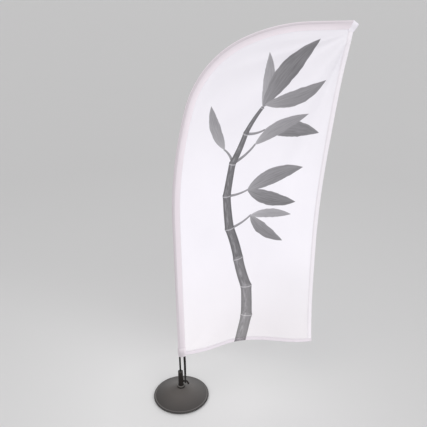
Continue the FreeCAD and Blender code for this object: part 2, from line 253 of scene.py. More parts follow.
def fan(x, z, pull, folds, reach, towards):
    """Depth of a fan of folds at a point, from the near to the far end of its reach."""
    near, far = reach
    away_x = (x - pull[0]) * towards[0]
    away_z = (z - pull[1]) * towards[1]
    distance = math.hypot(away_x, away_z)
    angle = math.degrees(math.atan2(away_x, away_z))
    share = min(1.0, max(0.0, (distance - near) / (far - near)))
    strength = math.sin(math.pi * share**0.6)
    return strength * sum(depth * hump(angle, middle, width) for middle, width, depth in folds)


def drape(x, z):
    """How far back the cloth lies at a point of the flag's plane."""
    to_rod = np.hypot(ROD_SAMPLES[:, 0] - x, ROD_SAMPLES[:, 1] - z).min() - SLEEVE_TAIL
    depth = fan(x, z, TIP_CORNER, TIP_FOLDS, TIP_REACH, (-1, -1))
    depth += fan(x, z, TIP_CORNER, FAR_TIP_FOLDS, FAR_TIP_REACH, (-1, -1))
    depth += fan(x, z, (SLEEVE_TAIL, HEM_Z), CORNER_FOLDS, CORNER_REACH, (1, 1))
    depth += WAVE_DEPTH * wobble(x * 0.9 - z * 0.35, 0.0, z * 0.45 + x * 0.35, WAVE_SCALE)
    return belly(x, z) + depth * ease(to_rod, 0.0, SEAM_EASE)


def on_cloth(x, z):
    return Vector((x, drape(x, z), z))


def cloth_normal(x, z):
    """The way out of the printed face."""
    step = 2.0
    across = on_cloth(x + step, z) - on_cloth(x - step, z)
    upward = on_cloth(x, z + step) - on_cloth(x, z - step)
    return across.cross(upward).normalized()


# ---- Cloth pieces ----

PANEL_ROWS = 190
PANEL_COLUMNS = 84
PANEL_LAP = 1.5  # how far the panel runs into the hems and the sleeve's seam
PANEL_END = 7.0  # how far short of the rod's end its seam stops
CLOTH_T = 0.36


def flag_cloth():
    """The printed panel: rows run from the sleeve's seam to the trailing hem."""
    low_z = HEM_Z + BOTTOM_HEM_W - PANEL_LAP
    high_z = BAND[3][1]
    start = low_z - ROD_BOTTOM_Z
    end = ROD_END - PANEL_END
    points = []
    for r in range(PANEL_ROWS + 1):
        share = r / PANEL_ROWS
        seam = rod_frame(start + (end - start) * share, SLEEVE_TAIL - PANEL_LAP)[0]
        edge = edge_point(low_z + (high_z - low_z) * share, TRAILING_HEM_W - PANEL_LAP)
        for c in range(PANEL_COLUMNS + 1):
            place = seam.lerp(edge, c / PANEL_COLUMNS)
            points.append(on_cloth(place.x, place.z))
    across = PANEL_COLUMNS + 1
    faces = []
    for r in range(PANEL_ROWS):
        for c in range(PANEL_COLUMNS):
            a = r * across + c
            faces.append((a, a + 1, a + 1 + across, a + across))
    obj = mesh_object("flag_cloth", points, faces)
    thick = obj.modifiers.new("thickness", "SOLIDIFY")
    thick.thickness = CLOTH_T * MM
    thick.offset = 0.0
    return obj


def cloth_area():
    """Flat area of the panel as cut, in square metres: the outline with its hem turned out once."""
    corners = []
    low = HEM_Z - ROD_BOTTOM_Z
    for step in range(101):
        corners.append(rod_frame(low + step / 100 * (ROD_END - low))[0])
    for step in range(101):
        height = TIP_CORNER[1] + (HEM_Z - TIP_CORNER[1]) * step / 100
        corners.append(edge_point(height, -TRAILING_HEM_W))
    area = 0.0
    for a, b in zip(corners, corners[1:] + corners[:1]):
        area += (a.x * b.z - b.x * a.z) / 2
    return abs(area) * MM * MM


# Across a hem from its folded edge: distance in, and half its thickness.
HEM_SECTION = (
    (0.0, 0.16), (0.14, 0.40), (0.45, 0.58), (1.3, 0.66), (3.0, 0.67), (5.4, 0.66), (6.9, 0.62),
    (7.5, 0.50), (8.1, 0.60), (8.8, 0.56), (9.1, 0.42), (9.2, 0.24),
)


def hem_ring(point_at, bump):
    """One closed ring round a hem. point_at gives the cloth's middle at a distance in from the fold."""
    front, back = [], []
    for inset, half in HEM_SECTION:
        middle = point_at(inset)
        front.append(middle + Vector((0, bump - half, 0)))
        back.append(middle + Vector((0, bump + half, 0)))
    return front + back[::-1]


def tag_hem(obj, rings):
    """Marks how far in from the folded edge each point of a hem lies."""
    insets = [inset for inset, _ in HEM_SECTION]
    tag(obj, "inset", (insets + insets[::-1]) * rings)


PUCKER = 0.16
BOTTOM_SHIFT = 400.0  # so that the bottom hem doesn't gather like the trailing one


def pucker(along):
    """Small gathers that stitching pulls into a seam."""
    return PUCKER * (wobble(along, 3.0, 7.0, 6.0) + 1.5 * wobble(along, 9.0, 1.0, 19.0))


def trailing_hem():
    low = HEM_Z + BOTTOM_HEM_W - 2.0
    high = TIP_CORNER[1] + 4.0
    rings = []
    for step in range(261):
        height = low + (high - low) * step / 260
        centre_to = (edge_point(height) - EDGE_CENTRE).normalized()

        def point_at(inset):
            place = EDGE_CENTRE + centre_to * (EDGE_R + inset)
            return on_cloth(place.x, place.z)

        rings.append(hem_ring(point_at, pucker(height)))
    obj = tube("trailing_hem_cloth", rings)
    tag_hem(obj, len(rings))
    return obj


def bottom_hem():
    low_x = POCKET_X + POCKET_LONG - 1.5
    rings = []
    for step in range(131):
        share = step / 130
        x = low_x + (edge_point(HEM_Z).x - low_x) * share

        def point_at(inset):
            height = HEM_Z + inset * BOTTOM_HEM_W / TRAILING_HEM_W
            lean = (edge_point(height).x - edge_point(HEM_Z).x) * share
            return on_cloth(x + lean, height)

        rings.append(hem_ring(point_at, pucker(x + BOTTOM_SHIFT)))
    obj = tube("bottom_hem_cloth", rings)
    tag_hem(obj, len(rings))
    return obj


def teardrop(radius, tail, tail_half, nose_steps=14, side_steps=5):
    """A closed section about the rod: (inward, sideways) pairs."""
    reach = math.hypot(tail, tail_half)
    turn = math.atan2(tail_half, tail) + math.acos(radius / reach)
    section = []
    for step in range(nose_steps + 1):
        angle = turn + (2 * math.pi - 2 * turn) * step / nose_steps
        section.append((radius * math.cos(angle), radius * math.sin(angle)))
    first, last = section[0], section[-1]
    for step in range(1, side_steps + 1):
        share = step / side_steps
        section.append((last[0] + (tail - last[0]) * share, last[1] + (-tail_half - last[1]) * share))
    for step in range(side_steps):
        share = step / side_steps
        section.append((tail + (first[0] - tail) * share, tail_half + (first[1] - tail_half) * share))
    return section


SLEEVE_GATHER_AT = 640.0  # along the rod: the tightest bend, where the sleeve gathers most
SLEEVE_GATHER_OVER = 190.0
SLEEVE_STEPS = 440
SLEEVE_PAST_ROD = 3.4  # how far it runs on into the tip band
SLEEVE_MOUTH = (12.0, 0.2)  # how deep its open lower end shows, and the lip's thickness


def sleeve_slack(distance, inward, side):
    """How far the sleeve's cloth stands off the rod: gathers on its loose side, tight on its nose."""
    loose = ease(inward, -1.0, 6.0) * (1 - ease(inward, 9.0, 12.0))
    bend = 0.6 + 0.9 * hump(distance, SLEEVE_GATHER_AT, SLEEVE_GATHER_OVER)
    small = 0.34 * wobble(distance, inward * 0.4, side * 3.0, 9.0)
    large = 0.3 * wobble(distance, side, 5.0, 26.0)
    return (small + large) * loose * bend


def rod_sleeve():
    """A cloth tube round the rod, open at its lower end, where the rod goes in."""
    outer = teardrop(SLEEVE_R, SLEEVE_TAIL, SLEEVE_TAIL_HALF)
    inner = teardrop(SLEEVE_R - SLEEVE_T, SLEEVE_TAIL - 1.0, SLEEVE_TAIL_HALF * 0.3)
    start = SLEEVE_BOTTOM_Z - ROD_BOTTOM_Z
    end = ROD_END + SLEEVE_PAST_ROD
    rings = [sleeve_ring(start + depth, inner, 0.0) for depth in SLEEVE_MOUTH]
    along = [start] * len(rings)
    for step in range(SLEEVE_STEPS + 1):
        along.append(start + (end - start) * step / SLEEVE_STEPS)
        rings.append(sleeve_ring(along[-1], outer, 1.0))
    obj = tube("rod_sleeve_cloth", rings)
    tag(obj, "inset", [into for into, _ in outer] * len(rings))
    tag(obj, "to_tip", [end - distance for distance in along for _ in outer])
    return obj


def sleeve_ring(distance, section, slack):
    point, _, inward = rod_frame(distance)
    ring = []
    for into, side in section:
        away = sleeve_slack(distance, into, side) * slack
        ring.append(point + inward * into + Vector((0, side + math.copysign(away, side), 0)))
    return ring


BAND_STEPS = (10, 14)  # along the rod and down
BAND_ENDS = (0.86, 0.62)  # how thick its two ends are, as a share of its middle
BAND_FLAT = 13.0  # it lies flat from this depth on


def tip_band():
    """A folded tape round the sleeve's end and the top of the trailing hem."""
    upper_left, upper_right, lower_right, lower_left = (Vector((x, 0, z)) for x, z in BAND)
    ahead_steps, down_steps = BAND_STEPS
    rings = []
    for a in range(ahead_steps + 1):
        share = a / ahead_steps
        high = upper_left.lerp(upper_right, share)
        low = lower_left.lerp(lower_right, share)
        edge = min(share, 1 - share) * ahead_steps
        full = 1.0 if edge >= 1 else BAND_ENDS[0 if share < 0.5 else 1]
        front, back = [], []
        for d in range(down_steps + 1):
            down = d / down_steps
            place = high.lerp(low, down)
            depth = high.z - place.z
            round_rod = math.sqrt(max(0.0, 1 - (1 - depth / BAND_R) ** 2)) if depth < BAND_R else 1.0
            flat = BAND_R + (BAND_TAIL_HALF - BAND_R) * ease(depth, BAND_R, BAND_FLAT)
            half = max(0.12, flat * round_rod) * full
            half += 0.18 * wobble(place.x, 2.0, place.z, 5.0)
            front.append(place + Vector((0, -half, 0)))
            back.append(place + Vector((0, half, 0)))
        rings.append(front + back[::-1])
    obj = tube("tip_band_cloth", rings)
    smooth = obj.modifiers.new("rounded", "SUBSURF")
    smooth.levels = smooth.render_levels = 2
    return obj


# Up the pocket's wall, outside and then inside: how far out of its shape, and the height.
POCKET_WALL = (
    (-2.6, 108.6), (-1.6, 108.05), (-0.8, 108.3), (-0.25, 109.3), (0.0, 111.0), (0.1, 114.0),
    (0.1, 117.0), (0.05, 120.0), (0.0, 123.0), (0.0, 126.0), (0.0, 128.6), (-0.12, 129.8),
    (-0.45, 129.6), (-0.55, 128.0), (-0.55, 122.0), (-0.6, 116.0), (-0.9, 111.0), (-1.8, 109.3),
)
POCKET_FLARE_Z = (119.0, 131.0)  # between these heights the round pouch closes up to the sleeve
POCKET_STEPS = 24
POCKET_SNUG = 0.6  # how far its upper end stands off the sleeve
POCKET_SLIM = 0.5  # how far its narrow sides hug the rod and the cord
POCKET_TUCK = 0.7  # how much further its lower end draws in towards the rod
POCKET_TUCK_Z = (108.0, 119.0)


def pocket_half(x, height):
    """Half the pocket's thickness at x: an oval pouch below, the sleeve's own shape above."""
    along = min(1.0, abs(x - POCKET_X) / POCKET_LONG)
    oval = POCKET_SHORT * math.sqrt(1 - along * along)
    at_rod = SLEEVE_R + POCKET_SNUG
    at_seam = SLEEVE_TAIL_HALF + 0.4
    if x < 0:
        snug = math.sqrt(max(0.0, at_rod**2 - x * x))
    else:
        snug = min(oval, at_rod + (at_seam - at_rod) * min(1.0, x / SLEEVE_TAIL))
    return oval + (snug - oval) * ease(height, *POCKET_FLARE_Z)


def pocket_ring(out, height):
    """One level ring: the printed side from the rod to the seam, then the other side back."""
    left = POCKET_X - POCKET_LONG + POCKET_SLIM + POCKET_TUCK * (1 - ease(height, *POCKET_TUCK_Z))
    right = POCKET_X + POCKET_LONG - POCKET_SLIM
    front, back = [], []
    for step in range(POCKET_STEPS + 1):
        sweep = -math.cos(math.pi * step / POCKET_STEPS)
        x = (left + right) / 2 + sweep * (right - left) / 2
        slack = 0.3 * wobble(x, height * 0.5, 2.0, 4.0) * hump(height, 118.0, 9.0)
        shrink = 1 + out / POCKET_SHORT
        half = max(0.05, (pocket_half(x, height) + slack) * shrink)
        x = POCKET_X + (x - POCKET_X) * (1 + out / POCKET_LONG)
        front.append(Vector((x, -half, height)))
        back.append(Vector((x, half, height)))
    return front + back[::-1]


def corner_pocket():
    """The sewn end of the sleeve that the rod and the stretch cord come out of."""
    rings = [pocket_ring(out, height) for out, height in POCKET_WALL]
    count = len(rings[0])
    points = [p for ring in rings for p in ring]
    faces = ring_faces(len(rings), count)
    last = (len(rings) - 1) * count
    for c in range(count):
        faces.append((last + c, last + (c + 1) % count, (c + 1) % count, c))
    return mesh_object("corner_pocket_cloth", points, faces)


# ---- Stitching ----

STITCH_INSET = 7.5  # from a hem's folded edge
STITCH_PITCH = 3.0
STITCH_LENGTH = 2.3
THREAD_R = 0.17
HEM_SEAM_HALF = 0.5  # from the cloth's middle to the stitches on its face
SLEEVE_SEAM_HALF = 0.98
BARTACK_LIFT = 0.68
BARTACK_ROWS = 13
BARTACK_WIDTH = 2.0
BARTACK_HALF = 2.4  # half its length
BARTACK_THREAD_R = 0.2
THREAD_SIDES = 6
THREAD_PROFILE = ((0.0, 0.35), (0.16, 0.95), (0.5, 1.1), (0.84, 0.95), (1.0, 0.35))


def add_stitch(points, faces, start, end, out, radius=THREAD_R):
    """One short thread that dips into the cloth at both ends."""
    ahead = (end - start).normalized()
    side = ahead.cross(out).normalized()
    first = len(points)
    for share, size in THREAD_PROFILE:
        lift = radius * (1.2 * math.sin(math.pi * share) - 0.5)
        middle = start.lerp(end, share) + out * lift
        for k in range(THREAD_SIDES):
            angle = 2 * math.pi * k / THREAD_SIDES
            points.append(middle + (side * math.cos(angle) + out * math.sin(angle)) * radius * size)
    faces.extend(ring_faces(len(THREAD_PROFILE), THREAD_SIDES, first))
    last = first + (len(THREAD_PROFILE) - 1) * THREAD_SIDES
    faces.append(tuple(first + k for k in reversed(range(THREAD_SIDES))))
    faces.append(tuple(last + k for k in range(THREAD_SIDES)))


def seam_stitches(name, place_at, length, half):
    """Stitches on both faces. place_at gives the cloth's middle and front normal at a distance."""
    points, faces = [], []
    count = int(length / STITCH_PITCH)
    for n in range(count):
        start_at = (n + 0.15) * STITCH_PITCH
        start, out = place_at(start_at)
        end, _ = place_at(start_at + STITCH_LENGTH)
        add_stitch(points, faces, start + out * half, end + out * half, out)
        shift = (end - start) * (STITCH_PITCH / STITCH_LENGTH / 2)
        add_stitch(points, faces, start + shift - out * half, end + shift - out * half, -out)
    return mesh_object(name, points, faces)


def trailing_stitches():
    low = HEM_Z + BOTTOM_HEM_W
    high = BAND[2][1]

    def place_at(distance):
        height = low + distance
        place = edge_point(height, STITCH_INSET)
        middle = on_cloth(place.x, place.z) + Vector((0, pucker(height), 0))
        return middle, cloth_normal(place.x, place.z)

    return seam_stitches("trailing_hem_stitches", place_at, high - low, HEM_SEAM_HALF)


def bottom_stitches():
    low_x = POCKET_X + POCKET_LONG + 1.0
    height = HEM_Z + STITCH_INSET * BOTTOM_HEM_W / TRAILING_HEM_W

    def place_at(distance):
        x = low_x + distance
        middle = on_cloth(x, height) + Vector((0, pucker(x + BOTTOM_SHIFT), 0))
        return middle, cloth_normal(x, height)

    return seam_stitches("bottom_hem_stitches", place_at, FREE_CORNER_X - 9.0 - low_x, HEM_SEAM_HALF)


def sleeve_stitches():
    start = POCKET_Z[1] - ROD_BOTTOM_Z + 1.0
    inset = SLEEVE_TAIL - 1.5

    def place_at(distance):
        return rod_frame(start + distance, inset)[0], Vector((0, -1, 0))

    return seam_stitches("sleeve_seam_stitches", place_at, ROD_END - 8.0 - start, SLEEVE_SEAM_HALF)


def bartack(points, faces, low, high, out):
    """A dense bar of threads across a short line."""
    side = (high - low).normalized().cross(out).normalized() * (BARTACK_WIDTH / 2)
    for n in range(BARTACK_ROWS):
        middle = low.lerp(high, (n + 0.5) / BARTACK_ROWS)
        add_stitch(points, faces, middle - side, middle + side, out, BARTACK_THREAD_R)


def corner_bartacks():
    """Reinforcing bars at the free corner and beside the pocket, on both faces."""
    points, faces = [], []
    corner = edge_point(HEM_Z + 4.0, 3.5)
    for x, z in ((corner.x, corner.z), (POCKET_X + POCKET_LONG + 3.0, HEM_Z + 4.5)):
        for out in (-1, 1):
            shift = Vector((0, out * BARTACK_LIFT + pucker(x + BOTTOM_SHIFT), 0))
            low = on_cloth(x - BARTACK_HALF, z) + shift
            high = on_cloth(x + BARTACK_HALF, z) + shift
            bartack(points, faces, low, high, Vector((0, out, 0)))
    return mesh_object("corner_bartacks", points, faces)


# ---- Stretch cord ----


def stretch_loop():
    """An elastic cord from the pocket, under the hook and back, its two strands a little askew."""
    back = ((10.3, 1.5, 122.0), (11.6, 2.5, 98.0), (11.4, 3.15, 60.0), (10.6, CORD_BEND, 43.0))
    front = ((9.9, -CORD_BEND, 43.0), (9.4, -3.15, 60.0), (9.3, -2.5, 98.0), (9.0, -1.5, 122.0))
    under = ((CORD_X, CORD_BEND, HOOK_Z - CORD_BEND), (CORD_X, -CORD_BEND, HOOK_Z - CORD_BEND))
    route = back + under + front
    curve = bpy.data.curves.new("stretch_loop", "CURVE")
    curve.dimensions = "3D"
    spline = curve.splines.new("NURBS")
    spline.points.add(len(route) - 1)
    for point, (x, y, z) in zip(spline.points, route):
        point.co = (x * MM, y * MM, z * MM, 1.0)
    spline.order_u = 3
    spline.use_endpoint_u = True
    spline.resolution_u = 24
    curve.bevel_depth = CORD_D / 2 * MM
    curve.bevel_resolution = 5
    curve.use_fill_caps = True
    return add_object("stretch_loop", curve)


# ---- Materials ----

SPECULAR = "Specular IOR Level"


class Field:
    """A number at every point of a surface. Arithmetic on it adds shader nodes."""

    def __init__(self, tree, socket):
        self.tree = tree
        self.socket = socket

    def __add__(self, other):
        return self.tree.math("ADD", self, other)

    def __sub__(self, other):
        return self.tree.math("SUBTRACT", self, other)

    def __rsub__(self, other):
        return self.tree.math("SUBTRACT", other, self)

    def __mul__(self, other):
        return self.tree.math("MULTIPLY", self, other)

    def __truediv__(self, other):
        return self.tree.math("DIVIDE", self, other)

    def __rtruediv__(self, other):
        return self.tree.math("DIVIDE", other, self)

    def __pow__(self, power):
        return self.tree.math("POWER", self, power)

    def __abs__(self):
        return self.tree.math("ABSOLUTE", self)

    def root(self):
        return self.tree.math("SQRT", self)

    def wave(self):
        return self.tree.math("SINE", self)

    def scaled(self, factor, offset):
        return self.tree.math("MULTIPLY_ADD", self, factor, offset)

    def between(self, at_zero, at_one):
        """The first number where this is 0, the second where it is 1, and in proportion elsewhere."""
        return self.scaled(at_one - at_zero, at_zero)

    def ramp(self, zero_at, one_at):
        """0 before one value, 1 beyond the other and a straight run between them."""
        factor = 1 / (one_at - zero_at)
        return self.tree.math("MULTIPLY_ADD", self, factor, -zero_at * factor, clamp=True)

    def ridge(self, width):
        """1 where this is 0, falling to 0 a width away on either side."""
        return self.tree.math("SUBTRACT", 1.0, abs(self) * (1 / width), clamp=True)


class Tree:
    """Short calls for building a node tree. Inputs are fields, plain numbers or colours."""

    def __init__(self, tree):
        self.tree = tree

    def add(self, kind, **settings):
        node = self.tree.nodes.new(kind)
        for key, value in settings.items():
            setattr(node, key, value)
        return node

    def feed(self, socket, value):
        if isinstance(value, Field):
            self.tree.links.new(value.socket, socket)
        elif isinstance(value, (tuple, list)):
            socket.default_value = (*value, 1)
        elif value is not None:
            socket.default_value = value

    def put(self, kind, inputs, output=0, **settings):
        """A node fed with inputs by index or name, and the field that comes out of it."""
        node = self.add(kind, **settings)
        for key, value in inputs.items():
            self.feed(node.inputs[key], value)
        return Field(self, node.outputs[output])

    def math(self, operation, *inputs, clamp=False):
        return self.put("ShaderNodeMath", dict(enumerate(inputs)), operation=operation, use_clamp=clamp)

    def blend(self, factor, a, b):
        """Between two numbers."""
        return self.put("ShaderNodeMix", {0: factor, 2: a, 3: b}, data_type="FLOAT")

    def tint(self, factor, a, b, kind="MIX"):
        """Between two colours."""
        return self.put("ShaderNodeMix", {0: factor, 6: a, 7: b}, 2, data_type="RGBA", blend_type=kind)

    def coordinates(self, output):
        """The x, y and z of the shaded point or of its normal."""
        parts = self.add("ShaderNodeSeparateXYZ")
        self.tree.links.new(self.add("ShaderNodeTexCoord").outputs[output], parts.inputs[0])
        return [Field(self, socket) for socket in parts.outputs]

    def place(self):
        """Where the shaded point is on the object, in millimetres: x, y, z."""
        return [part * (1 / MM) for part in self.coordinates("Object")]

    def stored(self, name):
        """A number that tag() stored on the mesh's points."""
        return Field(self, self.add("ShaderNodeAttribute", attribute_name=name).outputs["Fac"])

    def vector(self, x, y, z):
        return self.put("ShaderNodeCombineXYZ", {0: x, 1: y, 2: z})

    def noise(self, vector, scale, detail=2.0):
        return self.put("ShaderNodeTexNoise", {"Vector": vector, "Scale": scale, "Detail": detail}, "Fac")

    def bump(self, height, strength, distance_mm):
        inputs = {"Height": height, "Strength": strength, "Distance": distance_mm * MM}
        return self.put("ShaderNodeBump", inputs, "Normal")


def new_material(name):
    """A material, its tree and the shaded point in millimetres."""
    material = bpy.data.materials.new(name)
    material.use_nodes = True
    tree = Tree(material.node_tree)
    return material, tree, tree.place()


def shade(tree, colour, roughness, normal=None, levels=None):
    """Feeds the shader. The levels, by socket name, are the same all over the surface."""
    shader = tree.tree.nodes["Principled BSDF"]
    tree.feed(shader.inputs["Base Color"], colour)
    tree.feed(shader.inputs["Roughness"], roughness)
    tree.feed(shader.inputs["Normal"], normal)
    for socket, value in (levels or {}).items():
        shader.inputs[socket].default_value = value


def group(name, inputs, outputs):
    """An empty node group with number sockets, its tree, its input fields and output sockets."""
    made = bpy.data.node_groups.new(name, "ShaderNodeTree")
    for way, sockets in (("INPUT", inputs), ("OUTPUT", outputs)):
        for socket in sockets:
            made.interface.new_socket(name=socket, in_out=way, socket_type="NodeSocketFloat")
    tree = Tree(made)
    inside = tree.add("NodeGroupInput").outputs
    given = {socket: Field(tree, inside[socket]) for socket in inputs}
    return made, tree, given, tree.add("NodeGroupOutput").inputs


# ---- Print: a generic grey sprig with leaves ----

LINE_INPUTS = ("X", "Z", "Base X", "Base Z", "Tip X", "Tip Z")
EDGE_SOFT = (-0.5, 0.5)  # the ink's edge is a millimetre wide
RING_AT = 2.55  # how far below its end a length of cane has its pale ring
RING_WIDTH = 1.82


def along_and_across(given):
    """Share of the way from base to tip, distance to the right of the line between them, its length."""
    run_x = given["Tip X"] - given["Base X"]
    run_z = given["Tip Z"] - given["Base Z"]
    at_x = given["X"] - given["Base X"]
    at_z = given["Z"] - given["Base Z"]
    square = run_x * run_x + run_z * run_z
    length = square.root()
    return (at_x * run_x + at_z * run_z) / square, (at_x * run_z - at_z * run_x) / length, length


def bow(across, share, bend):
    """Distance to the right of a line that bows to the right by bend at its middle."""
    return across - share * (1.0 - share) * 4.0 * bend


def leaf_group():
    """A leaf between two points. Its half-width follows share^(blunt base) * (1 - share)^(blunt tip)."""
    inputs = LINE_INPUTS + ("Half", "Bend", "Blunt base", "Blunt tip", "Tone")
    made, tree, given, result = group("sprig_leaf", inputs, ("Mask", "Tone"))
    share, across, _ = along_and_across(given)
    held = share.ramp(0.0, 1.0)
    bowed = bow(across, held, given["Bend"])
    ripple = tree.noise(tree.vector(share, given["Tone"], given["Base X"]), 7.0, 1.0)
    outline = held ** given["Blunt base"] * (1.0 - held) ** given["Blunt tip"]
    half = outline * given["Half"] * ripple.scaled(0.3, 0.85)
    inside = tree.math("LESS_THAN", abs(share - 0.5), 0.5)
    spot = bowed / tree.math("MAXIMUM", half, 0.1)
    veins = (spot * 17.0).wave()
    midrib = bowed.ridge(1.11)
    streaks = tree.noise(tree.vector(share * 2.0, spot * 2.6, given["Base Z"]), 2.2, 3.0)
    pale_base = (1.0 - held) ** 4.0
    tone = given["Tone"] + veins * 0.005 - midrib * 0.025 + streaks.between(-0.10, 0.10)
    tree.feed(result["Mask"], (half - abs(bowed)).ramp(*EDGE_SOFT) * inside)
    tree.feed(result["Tone"], tone - spot * 0.02 + pale_base * 0.12)
    return made


def stalk_group():
    """A jointed stalk between two nodes, with round ends that lap over its neighbours."""
    inputs = LINE_INPUTS + ("Base half", "Tip half", "Bend", "Cap", "Tone", "Ring")
    made, tree, given, result = group("sprig_stalk", inputs, ("Mask", "Tone"))
    share, across, length = along_and_across(given)
    held = share.ramp(0.0, 1.0)
    bowed = bow(across, share, given["Bend"])
    swell = abs(held.between(-1.0, 1.0)) ** 8.0
    half = tree.blend(held, given["Base half"], given["Tip half"]) * swell.between(0.95, 1.05)
    spot = bowed / half
    square = spot * spot
    over = tree.math("MAXIMUM", abs(share - 0.5) - 0.5, 0.0) * length / given["Cap"]
    reach = (1.0 - (over * over + square).root()) * half
    grain = tree.noise(tree.vector(share * 2.5, spot * 1.6, given["Base X"]), 2.0, 3.0)
    gleam = (spot + 0.25).ridge(0.4545) * grain.ramp(0.4, 0.6)
    below_end = (1.0 - share) * length + square * given["Cap"] * 0.5
    ring = (below_end - RING_AT).ridge(RING_WIDTH)
    tone = given["Tone"] - square * square * 0.10 + grain.between(-0.07, 0.07)
    tree.feed(result["Mask"], reach.ramp(*EDGE_SOFT))
    tree.feed(result["Tone"], tone + gleam * 0.12 + ring * given["Ring"])
    return made


# The print is a plain bamboo sprig of no particular design, in millimetres (x, z) on the panel.
CANE = (
    (138, 104), (152, 182), (150, 258), (131, 330), (112, 402), (106, 474), (117, 540), (142, 598),
    (174, 646),
)
CANE_HALF = (13.5, 3.2)  # half-widths at its foot and at its top
CANE_TAPER = 1.4  # how much of the narrowing comes late
CANE_TONE = (0.33, 0.20)  # at its foot, and from the fourth length up
CANE_DARKENS_OVER = 3
CANE_RING = 0.34
CANE_CAP = 0.45  # how round a length's ends are, as a share of its half-width
# Twigs: from a joint of the cane, direction in degrees from straight up towards +x, length.
TWIGS = ((4, 58, 50), (5, 76, 42), (6, 50, 56), (6, -28, 32), (7, 82, 36))
TWIG_LOOKS = ((3.2, 1.8), 3, 2, 0.32, 0.0)  # half-widths, bend, cap, tone, ring
# Leaves: base, direction, length, half-width, bend to the right, tone.
LEAVES = (
    ((174, 646), 6, 100, 11.0, 6, 0.42),
    ((174, 646), 41, 158, 17.5, -8, 0.25),
    ((178, 650), 70, 122, 14.0, 9, 0.31),
    ((178, 603), 96, 108, 16.0, -6, 0.27),
    ((160, 576), 62, 116, 12.0, -6, 0.36),
    ((102, 568), -16, 88, 10.5, -5, 0.38),
    ((147, 484), 108, 104, 15.0, 6, 0.24),
    ((147, 484), 70, 118, 16.5, -8, 0.29),
    ((154, 428), 132, 92, 12.5, 7, 0.28),
    ((154, 428), 92, 84, 10.0, -4, 0.40),
)
LEAF_BASE = 0.8  # how slowly a leaf widens from its base
LEAF_TIP = 0.95  # and closes at its tip


def heading(start, degrees, length):
    """The far end of a line from a point of the print."""
    turn = math.radians(degrees)
    return (start[0] + math.sin(turn) * length, start[1] + math.cos(turn) * length)


def cane_parts():
    """The cane's lengths, the top one first: ends, half-widths, bend, cap, tone, ring at the joint."""
    count = len(CANE) - 1
    wide, narrow = CANE_HALF
    foot, top = CANE_TONE
    parts = []
    for n in range(count):
        halves = [wide + (narrow - wide) * (step / count) ** CANE_TAPER for step in (n, n + 1)]
        bend = 1.6 * math.sin(2.4 * n + 0.4)
        tone = foot + (top - foot) * min(1.0, n / CANE_DARKENS_OVER)
        parts.append((CANE[n], CANE[n + 1], halves, bend, halves[1] * CANE_CAP, tone, CANE_RING))
    return parts[::-1]


def twig_parts():
    return [(CANE[n], heading(CANE[n], turn, run), *TWIG_LOOKS) for n, turn, run in TWIGS]


def sprig_group():
    """The print at a point of the cloth: the light its ink lets back and how far ink covers it."""
    made, tree, given, result = group("sprig_print", ("X", "Z"), ("Tone", "Cover"))
    leaf = leaf_group()
    stalk = stalk_group()
    parts = []
    for base, tip, halves, bend, cap, tone, ring in twig_parts() + cane_parts():
        values = {"Base half": halves[0], "Tip half": halves[1], "Bend": bend, "Cap": cap, "Ring": ring}
        parts.append((stalk, base, tip, tone, values))
    widest = LEAF_BASE / (LEAF_BASE + LEAF_TIP)
    full = widest**LEAF_BASE * (1 - widest) ** LEAF_TIP
    for base, turn, length, half, bend, tone in LEAVES:
        values = {"Half": half / full, "Bend": bend, "Blunt base": LEAF_BASE, "Blunt tip": LEAF_TIP}
        parts.append((leaf, base, heading(base, turn, length), tone, values))
    shown, cover = 1.0, 0.0
    for kind, base, tip, tone, values in parts:
        ends = dict(zip(LINE_INPUTS, (given["X"], given["Z"], *base, *tip)))
        node = tree.add("ShaderNodeGroup", node_tree=kind)
        for socket, value in {**values, **ends, "Tone": tone}.items():
            tree.feed(node.inputs[socket], value)
        mask = Field(tree, node.outputs["Mask"])
        shown = tree.blend(mask, shown, Field(tree, node.outputs["Tone"]))
        cover = tree.math("MAXIMUM", cover, mask)
    tree.feed(result["Tone"], shown)
    tree.feed(result["Cover"], cover)
    return made


def print_ink(tree, printed, x, z):
    """How much light the sprig lets back, a little more where it shows through behind."""
    sprig = tree.add("ShaderNodeGroup", node_tree=printed)
    tree.feed(sprig.inputs["X"], x)
    tree.feed(sprig.inputs["Z"], z)
    behind = tree.coordinates("Normal")[1].ramp(-0.125, 0.125)
    cover = Field(tree, sprig.outputs["Cover"]) * behind.between(1.0, 0.78)
    return tree.blend(cover, 1.0, Field(tree, sprig.outputs["Tone"]))


# ---- Cloth ----

KNIT_PITCH = (0.62, 0.55)  # between two columns and two rows of loops
CLOTH_LEVELS = {SPECULAR: 0.25, "Sheen Weight": 0.12, "Sheen Roughness": 0.45}


def knit_bump(tree, x, z):
    """A fine knitted surface, two threads to the millimetre."""
    columns, rows = ((part * (2 * math.pi / pitch)).wave() for part, pitch in zip((x, z), KNIT_PITCH))
    return tree.bump(rows * columns, 0.25, 0.06)


